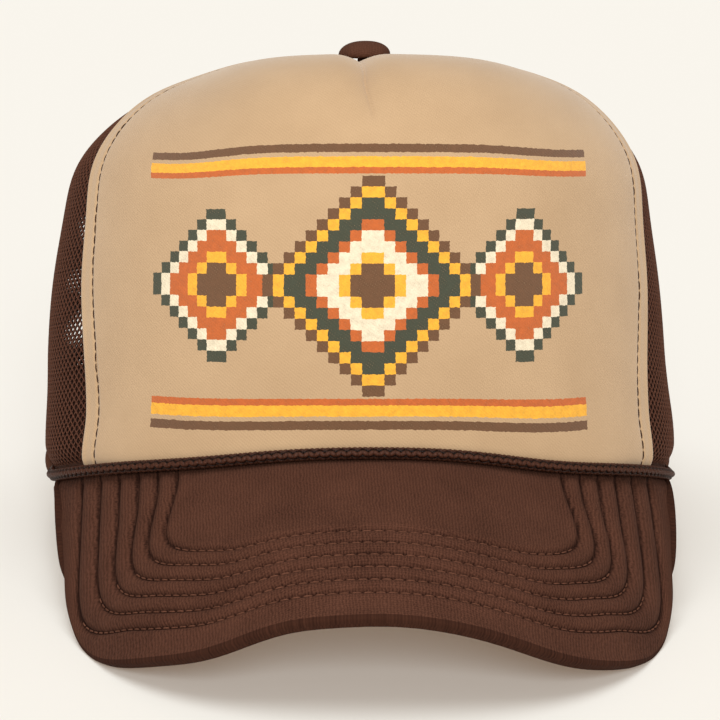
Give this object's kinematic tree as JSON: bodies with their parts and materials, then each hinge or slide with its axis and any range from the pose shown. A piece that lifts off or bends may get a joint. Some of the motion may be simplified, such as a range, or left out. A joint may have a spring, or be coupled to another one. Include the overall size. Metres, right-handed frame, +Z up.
{
  "type": "trucker cap",
  "caption": "Trucker cap with a padded tan front, brown mesh sides and back, a stitched curved brim, a rope along the brim and a snap strap.",
  "frame": {"origin": "middle of the bounding box on the surface that the cap rests on", "axes": "-Y out of the forehead along the brim, +X to the right as the cap is seen from the front, +Z up"},
  "size_m": [0.1916, 0.2676, 0.1498],
  "materials": {
    "front_cloth": "matt brushed twill over foam",
    "net": "open polyester mesh",
    "brim_cloth": "matt ribbed cloth, stitched in rows",
    "brown_cloth": "matt woven cloth",
    "rope": "tight braid",
    "lining_cloth": "soft woven cloth",
    "strap_plastic": "fine moulded grain"
  },
  "bodies": {
    "root": {"front_panel": "front_cloth", "mesh_side_right": "net", "mesh_side_left": "net", "mesh_back_right": "net", "mesh_back_left": "net", "brim": "brim_cloth", "rope_cord": "rope", "rope_button_right": "brown_cloth", "rope_button_left": "brown_cloth", "top_button": "brown_cloth", "sweatband": "lining_cloth", "seam_tape_front_right": "lining_cloth", "seam_tape_front_left": "lining_cloth", "seam_tape_side_right": "lining_cloth", "seam_tape_side_left": "lining_cloth", "seam_tape_back": "lining_cloth", "back_opening_binding": "brown_cloth", "snap_strap_left": "strap_plastic", "snap_strap_right": "strap_plastic"}
  },
  "joints": []
}
